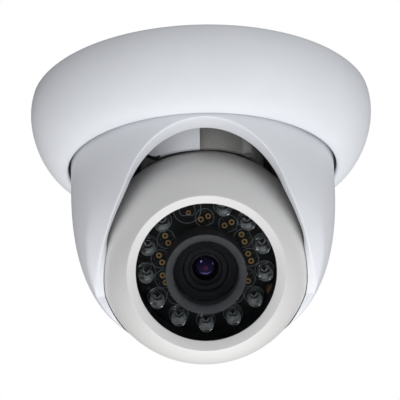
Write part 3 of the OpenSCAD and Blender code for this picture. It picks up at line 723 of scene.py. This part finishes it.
class CCTV_OT_ball(bpy.types.Operator):
    """Make the ball's shells and its window"""

    bl_idname = "cctv.ball"
    bl_label = "Ball and window"

    def execute(self, context):
        sizes = context.scene.cctv_ball
        place = ball_matrix()
        r, rim, window = sizes.radius / MM, sizes.rim_radius / MM, sizes.window_radius / MM
        front, back, seat = sizes.glass_front / MM, sizes.glass_back / MM, sizes.glass_radius / MM
        rim_angle = math.degrees(math.acos(rim / r))
        joint_angle = -math.degrees(math.asin(8.5 / r))
        rim_z = r * math.sin(math.radians(rim_angle))
        outline = arc((0, 0), r, joint_angle, rim_angle - 0.6, 90)
        outline += [(rim - 0.12, rim_z + 0.02), (rim - 0.3, rim_z - 0.06)]
        outline += [(window + 0.15, front + 0.5), (window, front + 0.36), (window, front),
                    (seat + 0.05, front)]
        outline += [(seat + 0.05, 15.8), (28.8, 14.4), (31.5, 6.8), (32.3, 0), (31.6, -6), (24.6, -6),
                    (24.6, -8.5)]
        make_piece("ball_front_shell", lathe(outline, 256), place, MATERIALS["ball_paint"], "ball",
                   ["front_shell"], sharp=28)
        flat = 33.8
        outline = [(24.6, -8.5), (28.75, -8.5), (28.75, -14.8)]
        outline += arc((0, 0), r, -math.degrees(math.asin(14.8 / r)), -math.degrees(math.asin(flat / r)), 60)
        outline += [(4.3, -flat), (4.3, -31.3)] + arc((0, 0), 32.3, -75.5, -33, 24) + [(24.6, -17)]
        make_piece("ball_rear_shell", lathe(outline, 256), place, MATERIALS["ball_paint"], "ball",
                   ["rear_shell"], sharp=28)
        e = 0.25
        outline = [(0, back), (seat - e, back), (seat, back + e), (seat, front - e), (seat - e, front),
                   (0, front)]
        make_piece("window_pane", lathe(outline, 128), place, MATERIALS["window_glass"], "ball",
                   ["window_glass"])
        return {"FINISHED"}


class CCTV_OT_board(bpy.types.Operator):
    """Make the lamp board with its print, its gold pads and its photocell"""

    bl_idname = "cctv.board"
    bl_label = "Lamp board"

    def execute(self, context):
        sizes = context.scene.cctv_lamps
        place = ball_matrix()
        front, r = sizes.board_front / MM, sizes.board_radius / MM
        hole = 8.8
        outline = [(hole, front - 1.6), (r - 0.1, front - 1.6), (r, front - 1.5), (r, front - 0.1),
                   (r - 0.1, front), (hole, front)]
        make_piece("lamp_board_disc", lathe(outline, 180), place, MATERIALS["black_board"], "ball",
                   ["led_board"])
        lamp_places = [on_board(a, sizes.circle_radius / MM) for a in lamp_angles()]
        empty = [(a, on_board(a, sizes.place_radius / MM)) for a in empty_angles()]
        spare = on_board(18, sizes.circle_radius / MM - 1.3)
        ink = [moved(flat_ring(3.18, 2.98, front, 0.04), x, y) for x, y in lamp_places]
        ink += [moved(place_ring(3.0, 0.2, 2.6, front), x, y, turn=pad_turn(a)) for a, (x, y) in empty]
        ink += [moved(flat_ring(4.55, 4.33, front, 0.04, 64), *spare)]
        ink += [moved(place_ring(2.55, 0.2, 1.9, front), *spare, turn=-90)]
        # Outline strokes of the pads, without any lettering.
        for a, (x, y) in empty:
            for offset in (-1.27, 1.27):
                stroke = slab(0.5, 0.14, front, front + 0.04, 0.01)
                ink.append(moved(moved(stroke, 1.9, offset * 0.6, turn=30), x, y, turn=pad_turn(a)))
                ink.append(moved(moved(stroke, -1.9, offset * 0.6, turn=75), x, y, turn=pad_turn(a)))
        make_piece("board_print", joined(ink), place, MATERIALS["print_ink"], "ball")
        pads, hole_shade_discs = [], []
        for a, (x, y) in empty:
            for offset in (-1.27, 1.27):
                pad = moved(flat_ring(0.97, 0.42, front, 0.09, 32), 0, offset)
                pads.append(moved(pad, x, y, turn=pad_turn(a)))
                # A thin black disc in each pad's hole: painted shade for the depth of the hole.
                hole = lathe([(0, front), (0.43, front), (0.43, front + 0.03), (0, front + 0.03)], 24)
                hole_shade_discs.append(moved(moved(hole, 0, offset), x, y, turn=pad_turn(a)))
        pads.append(moved(flat_ring(0.8, 0.4, front, 0.09, 32), spare[0] + 0.4, spare[1] - 1.0))
        make_piece("board_pads", joined(pads), place, MATERIALS["gold_plate"], "ball")
        make_piece("board_hole_shades", joined(hole_shade_discs), place, MATERIALS["lens_black"], "ball")
        traces = []
        for start, end, radius in ((20, 50, 16.9), (66, 150, 16.85), (-66, -168, 16.85), (160, 195, 15.6),
                                   (-24, -50, 16.9), (100, 176, 22.0), (-120, -176, 22.1)):
            steps = max(int(abs(end - start) / 3), 2)
            path = [on_board(start + (end - start) * i / steps, radius) for i in range(steps + 1)]
            traces.append(band(path, 0.35, front - 0.01, 0.04))
        make_piece("board_traces", joined(traces), place, MATERIALS["black_board"], "ball")
        x, y = on_board(-113.5, 23.6)
        cell = moved(photocell(2.08, 1.73, front, 1.5), x, y, turn=-113.5)
        make_piece("photocell_body", cell, place, MATERIALS["photocell"], "ball",
                   ["light_sensor"])
        # A track that winds across its face.
        track = []
        for i in range(-3, 4):
            reach = 1.45 - 0.09 * i * i
            track.append(band([(0.42 * i, -reach), (0.42 * i, reach)], 0.14, front + 1.49, 0.05))
            end = reach * (-1) ** i
            track.append(band([(0.42 * i, end), (0.42 * (i + 1), end)], 0.14, front + 1.49, 0.05))
        track = moved(joined(track), x, y, turn=-113.5)
        make_piece("photocell_track", track, place, MATERIALS["gold_plate"], "ball")
        return {"FINISHED"}


def photocell(radius, half_width, front, height):
    """A disc with two flat sides and a softened top edge."""
    limit = math.degrees(math.acos(half_width / radius))
    outline = []
    for side in (0, 180):
        outline += [(radius * math.cos(math.radians(a)), radius * math.sin(math.radians(a)))
                    for a in np.linspace(side + limit, side + 180 - limit, 13)]
    count, e = len(outline), 0.12
    rows = ((1, front), (1, front + height - e), (1 - e / radius, front + height))
    points = [(x * k, y * k, z) for k, z in rows
              for x, y in outline]
    faces = [tuple(range(count)), tuple(range(3 * count - 1, 2 * count - 1, -1))]
    faces += [(j * count + i, j * count + (i + 1) % count,
               (j + 1) * count + (i + 1) % count, (j + 1) * count + i)
              for j in range(2) for i in range(count)]
    return points, faces


def lamp_angles():
    """Angles of the lamps, left of the top being positive; one place is left free."""
    step = 27
    return [180 - 4 * step + i * step for i in range(9)] + [-45, -18, 45]


def empty_angles():
    """Angles of the empty lamp places inside the ring of lamps."""
    return [0, -31.5] + [side * (58.5 + 27 * i) for side in (-1, 1) for i in range(4)]


def pad_turn(place_angle):
    """Turn of a pair of pads: the two places at the top lie across, the others almost upright."""
    return -66 if abs(place_angle) < 40 else 22


def place_ring(radius, width, cut, front):
    """A printed circle with one side cut straight, as a lamp's footprint has."""
    limit = math.degrees(math.acos(cut / radius))
    steps = 44
    path = [(radius * math.cos(math.radians(limit + (360 - 2 * limit) * i / steps)),
             radius * math.sin(math.radians(limit + (360 - 2 * limit) * i / steps))) for i in range(steps + 1)]
    path += [path[0]]
    return band(path, width, front, 0.04)


class CCTV_OT_lamps(bpy.types.Operator):
    """Make the clear lamps with their lead frames, cups and chips"""

    bl_idname = "cctv.lamps"
    bl_label = "Infrared lamps"

    def execute(self, context):
        sizes = context.scene.cctv_lamps
        place = ball_matrix()
        front, r, tip = sizes.board_front / MM, sizes.lamp_radius / MM, sizes.lamp_tip / MM
        base, chip_z = front + 0.1, front + 3.5
        body = [(0, base), (2.85, base), (2.9, base + 0.05), (2.9, base + 0.85), (2.85, base + 0.92),
                (r, base + 1)]
        body += arc((0, tip - r), r, 0, 90, 20)[:-1] + [(0, tip)]
        epoxy, frames, chips = [], [], []
        for a in lamp_angles():
            x, y = on_board(a, sizes.circle_radius / MM)
            turn = 20 + a * 0.1
            epoxy.append(moved(lathe(body, 48), x, y))
            cup = lathe([(0.35, chip_z), (0.95, chip_z + 0.75), (1.1, chip_z + 0.75), (1.1, chip_z - 0.3),
                         (0, chip_z - 0.3), (0, chip_z)], 24)
            anvil = moved(slab(1.5, 0.5, base + 0.3, chip_z - 0.2, 0.05), 0.2, 0)
            post = moved(slab(0.5, 0.5, base + 0.3, chip_z + 0.6, 0.05), -1.55, 0)
            frames += [moved(joined([cup, anvil, post]), x, y, turn=turn)]
            chips += [moved(slab(0.34, 0.34, chip_z, chip_z + 0.22, 0.02), x, y, turn=turn)]
        make_piece("lamp_bodies", joined(epoxy), place, MATERIALS["lamp_epoxy"], "ball",
                   ["ir_leds"])
        make_piece("lamp_frames", joined(frames), place, MATERIALS["lead_frame"], "ball")
        make_piece("lamp_chips", joined(chips), place, MATERIALS["lamp_chip"], "ball")
        return {"FINISHED"}


class CCTV_OT_lens(bpy.types.Operator):
    """Make the hood, its foam ring and the lens"""

    bl_idname = "cctv.lens"
    bl_label = "Hood and lens"

    def execute(self, context):
        sizes = context.scene.cctv_lamps
        place = ball_matrix(sizes.lens_drop)
        front, r, head = sizes.board_front / MM, sizes.hood_radius / MM, sizes.head_radius / MM
        low, top = front + 2.7, 19.9
        outline = [(8.95, front), (r, front)] + arc((r - 0.3, top - 0.3), 0.3, 0, 80, 6)
        outline += [(12.5, top - 0.1), (11.4, 19.3), (10.7, 18.8), (10.45, 18.5), (10.4, 18.2), (10.4, low),
                    (8.95, low)]
        make_piece("hood_body", lathe(outline, 160), place, MATERIALS["hood_rubber"], "ball",
                   ["lens_hood"])
        outline = [(head + 0.2, low), (10.35, low), (10.35, 13.0)]
        outline += arc((9.95, 13.0), 0.4, 0, 90, 4) + arc((head + 0.5, 13.1), 0.3, 90, 180, 4)
        make_piece("foam_pad", lathe(outline, 160), place, MATERIALS["gasket_foam"], "ball",
                   ["foam_ring"])
        outline = [(4.6, -1.5), (6, -1.5), (6, 8.9), (head, 8.9)] + arc((head - 0.25, 12.05), 0.25, 0, 90, 5)
        outline += [(5.6, 12.3), (5.45, 12.15), (4.9, 11.3), (4.8, 11.3), (4.75, 10.9), (4.3, 10.7),
                    (4.3, 7), (4.6, 7)]
        make_piece("barrel_body", lathe(outline, 160), place, MATERIALS["black_abs"], "ball",
                   ["lens_barrel"])
        curve, edge = 7.2, 4.25
        slope = math.degrees(math.acos(edge / curve))
        outline = [(0, 8.2), (edge, 8.2)]
        outline += arc((0, LENS_TIP - curve), curve, slope, 90, 24)[:-1] + [(0, LENS_TIP)]
        make_piece("front_element", lathe(outline, 96), place, MATERIALS["coated_glass"], "ball",
                   ["front_lens"])
        return {"FINISHED"}


class CCTV_OT_stage(bpy.types.Operator):
    """Set up the floor, the light and the camera"""

    bl_idname = "cctv.stage"
    bl_label = "Stage"

    def execute(self, context):
        settings = context.scene.cctv_stage
        make_floor(settings)
        make_world(context.scene)
        centre = Vector((0, 0, -settings.target_depth))
        middle = (FLOOR_FRONT + FLOOR_BACK) / 2
        make_light("table_glow", (0, middle, 0.01 - settings.floor_depth), (0, middle, 0),
                   (2 * FLOOR_HALF, FLOOR_BACK - FLOOR_FRONT), 7.0, (1.0, 1.0, 1.0))
        make_light("soft_right", (0.85, -0.75, -0.3), centre, (0.4, 0.4), 0.9, (0.98, 0.99, 1.0))
        make_light("soft_front", (-0.35, -0.9, -0.25), centre, (0.14, 0.14), 0.3, (1.0, 1.0, 1.0))
        make_camera(context.scene, settings)
        context.scene.view_settings.view_transform = "Standard"
        return {"FINISHED"}


# The floor reaches this far to each side, in front and behind, in metres.
FLOOR_HALF = 0.82
FLOOR_FRONT = -0.2
FLOOR_BACK = 1.02


def make_floor(settings):
    """A pale matt floor well under the camera."""
    mesh = bpy.data.meshes.new("floor")
    z = -settings.floor_depth
    points = [(x, y, z) for x, y in ((-FLOOR_HALF, FLOOR_FRONT), (FLOOR_HALF, FLOOR_FRONT),
                                     (FLOOR_HALF, FLOOR_BACK), (-FLOOR_HALF, FLOOR_BACK))]
    mesh.from_pydata(points, [], [(0, 1, 2, 3)])
    floor = bpy.data.objects.new("floor", mesh)
    bpy.context.scene.collection.objects.link(floor)
    mesh.materials.append(surface("painted_board_pale", settings.floor_colour, 0.8, grain=(4, 0.05, 2)))


def make_world(scene):
    """A studio surround: white behind the object, a soft dim room that is brighter low down and in front
    for diffuse light, and a dark room for reflections."""
    world = bpy.data.worlds.new("studio")
    world.use_nodes = True
    tree = world.node_tree
    tree.nodes.clear()

    def math_node(operation, a, b):
        return add(tree, "ShaderNodeMath", {0: a, 1: b}, operation=operation).outputs[0]

    def toward(direction):
        dot = add(tree, "ShaderNodeVectorMath", {0: where, 1: direction}, operation="DOT_PRODUCT")
        return math_node("MAXIMUM", dot.outputs["Value"], 0.0)

    def background(level):
        shade = add(tree, "ShaderNodeCombineColor", {"Red": math_node("MULTIPLY", level, 0.985),
                                                     "Green": math_node("MULTIPLY", level, 0.995),
                                                     "Blue": math_node("MULTIPLY", level, 1.02)})
        return add(tree, "ShaderNodeBackground", {"Color": shade.outputs["Color"]}).outputs["Background"]

    where = add(tree, "ShaderNodeTexCoord").outputs["Generated"]
    down = toward((0, 0, -1))
    steep = math_node("POWER", down, 2)
    low = math_node("ADD", math_node("MULTIPLY", down, 0.45), math_node("MULTIPLY", steep, 0.4))
    front = math_node("MULTIPLY", math_node("POWER", toward((-0.22, -0.8, -0.56)), 3.0), 0.5)
    right = math_node("MULTIPLY", toward((1, 0, 0.2)), 0.18)
    left = math_node("MULTIPLY", toward((-1, 0, 0.3)), -0.17)
    back = math_node("MULTIPLY", toward((0, 1, 0)), 0.1)
    sides = math_node("ADD", math_node("ADD", right, left), math_node("ADD", back, 0.3))
    level = math_node("ADD", math_node("ADD", low, front), sides)
    dim = math_node("ADD", math_node("MULTIPLY", low, 0.2), 0.06)
    path = add(tree, "ShaderNodeLightPath")
    soft = add(tree, "ShaderNodeMixShader", {"Fac": path.outputs["Is Diffuse Ray"], 1: background(dim),
                                             2: background(level)})
    white = add(tree, "ShaderNodeBackground", {"Color": (1, 1, 1, 1)})
    mix = add(tree, "ShaderNodeMixShader", {"Fac": path.outputs["Is Camera Ray"], 1: soft.outputs["Shader"],
                                            2: white.outputs["Background"]})
    add(tree, "ShaderNodeOutputWorld", {"Surface": mix.outputs["Shader"]})
    scene.world = world


def make_light(name, place, target, size, power, tint):
    """A soft rectangular light that faces a point."""
    light = bpy.data.lights.new(name, "AREA")
    light.shape = "RECTANGLE"
    light.size, light.size_y = size
    light.energy, light.color = power, tint
    lamp = bpy.data.objects.new(name, light)
    lamp.location = place
    lamp.visible_camera = False
    lamp.rotation_euler = (Vector(target) - Vector(place)).to_track_quat("-Z", "Y").to_euler()
    bpy.context.scene.collection.objects.link(lamp)
    return lamp


def make_camera(scene, settings):
    """A long lens that looks up at the camera from in front."""
    data = bpy.data.cameras.new("view")
    data.lens, data.sensor_width = settings.focal, 36
    data.clip_start, data.clip_end = 0.01, 50
    camera = bpy.data.objects.new("view", data)
    right = Vector((math.cos(settings.azimuth), math.sin(settings.azimuth), 0))
    level = Vector((-right.y, right.x, 0))
    target = right * settings.side - Vector((0, 0, settings.target_depth))
    toward = level * math.cos(settings.elevation) - Vector((0, 0, math.sin(settings.elevation)))
    up = right.cross(toward)
    c, s = math.cos(settings.roll), math.sin(settings.roll)
    right, up = right * c + up * s, up * c - right * s
    turn = Matrix((right, up, -toward)).transposed().to_4x4()
    camera.matrix_world = Matrix.Translation(target - toward * settings.distance) @ turn
    scene.collection.objects.link(camera)
    scene.camera = camera


class CCTV_PT_panel(bpy.types.Panel):
    """Sizes, colours and build steps"""

    bl_label = "Dome camera"
    bl_idname = "CCTV_PT_panel"
    bl_space_type = "VIEW_3D"
    bl_region_type = "UI"
    bl_category = "Dome camera"

    def draw(self, context):
        layout = self.layout
        for group in GROUPS:
            settings = getattr(context.scene, GROUPS[group])
            box = layout.box()
            for name in group.__annotations__:
                box.prop(settings, name)
        for operator in OPERATORS:
            layout.operator(operator.bl_idname)


GROUPS = {ShroudSizes: "cctv_shroud", BallSizes: "cctv_ball", LampSizes: "cctv_lamps",
          Finishes: "cctv_finishes", StageSettings: "cctv_stage"}
OPERATORS = [CCTV_OT_materials, CCTV_OT_stage, CCTV_OT_trim_ring, CCTV_OT_shroud, CCTV_OT_ball,
             CCTV_OT_board, CCTV_OT_lamps, CCTV_OT_lens]
CLASSES = [*GROUPS, *OPERATORS, CCTV_PT_panel]


def register():
    for item in CLASSES:
        bpy.utils.register_class(item)
    for group, name in GROUPS.items():
        setattr(bpy.types.Scene, name, PointerProperty(type=group))


def unregister():
    for name in GROUPS.values():
        delattr(bpy.types.Scene, name)
    for item in reversed(CLASSES):
        bpy.utils.unregister_class(item)


def main():
    register()
    bpy.ops.cctv.materials()
    bpy.ops.cctv.stage()
    bpy.ops.cctv.trim_ring()
    bpy.ops.cctv.shroud()
    bpy.ops.cctv.ball()
    bpy.ops.cctv.board()
    bpy.ops.cctv.lamps()
    bpy.ops.cctv.lens()


if __name__ == "__main__":
    main()
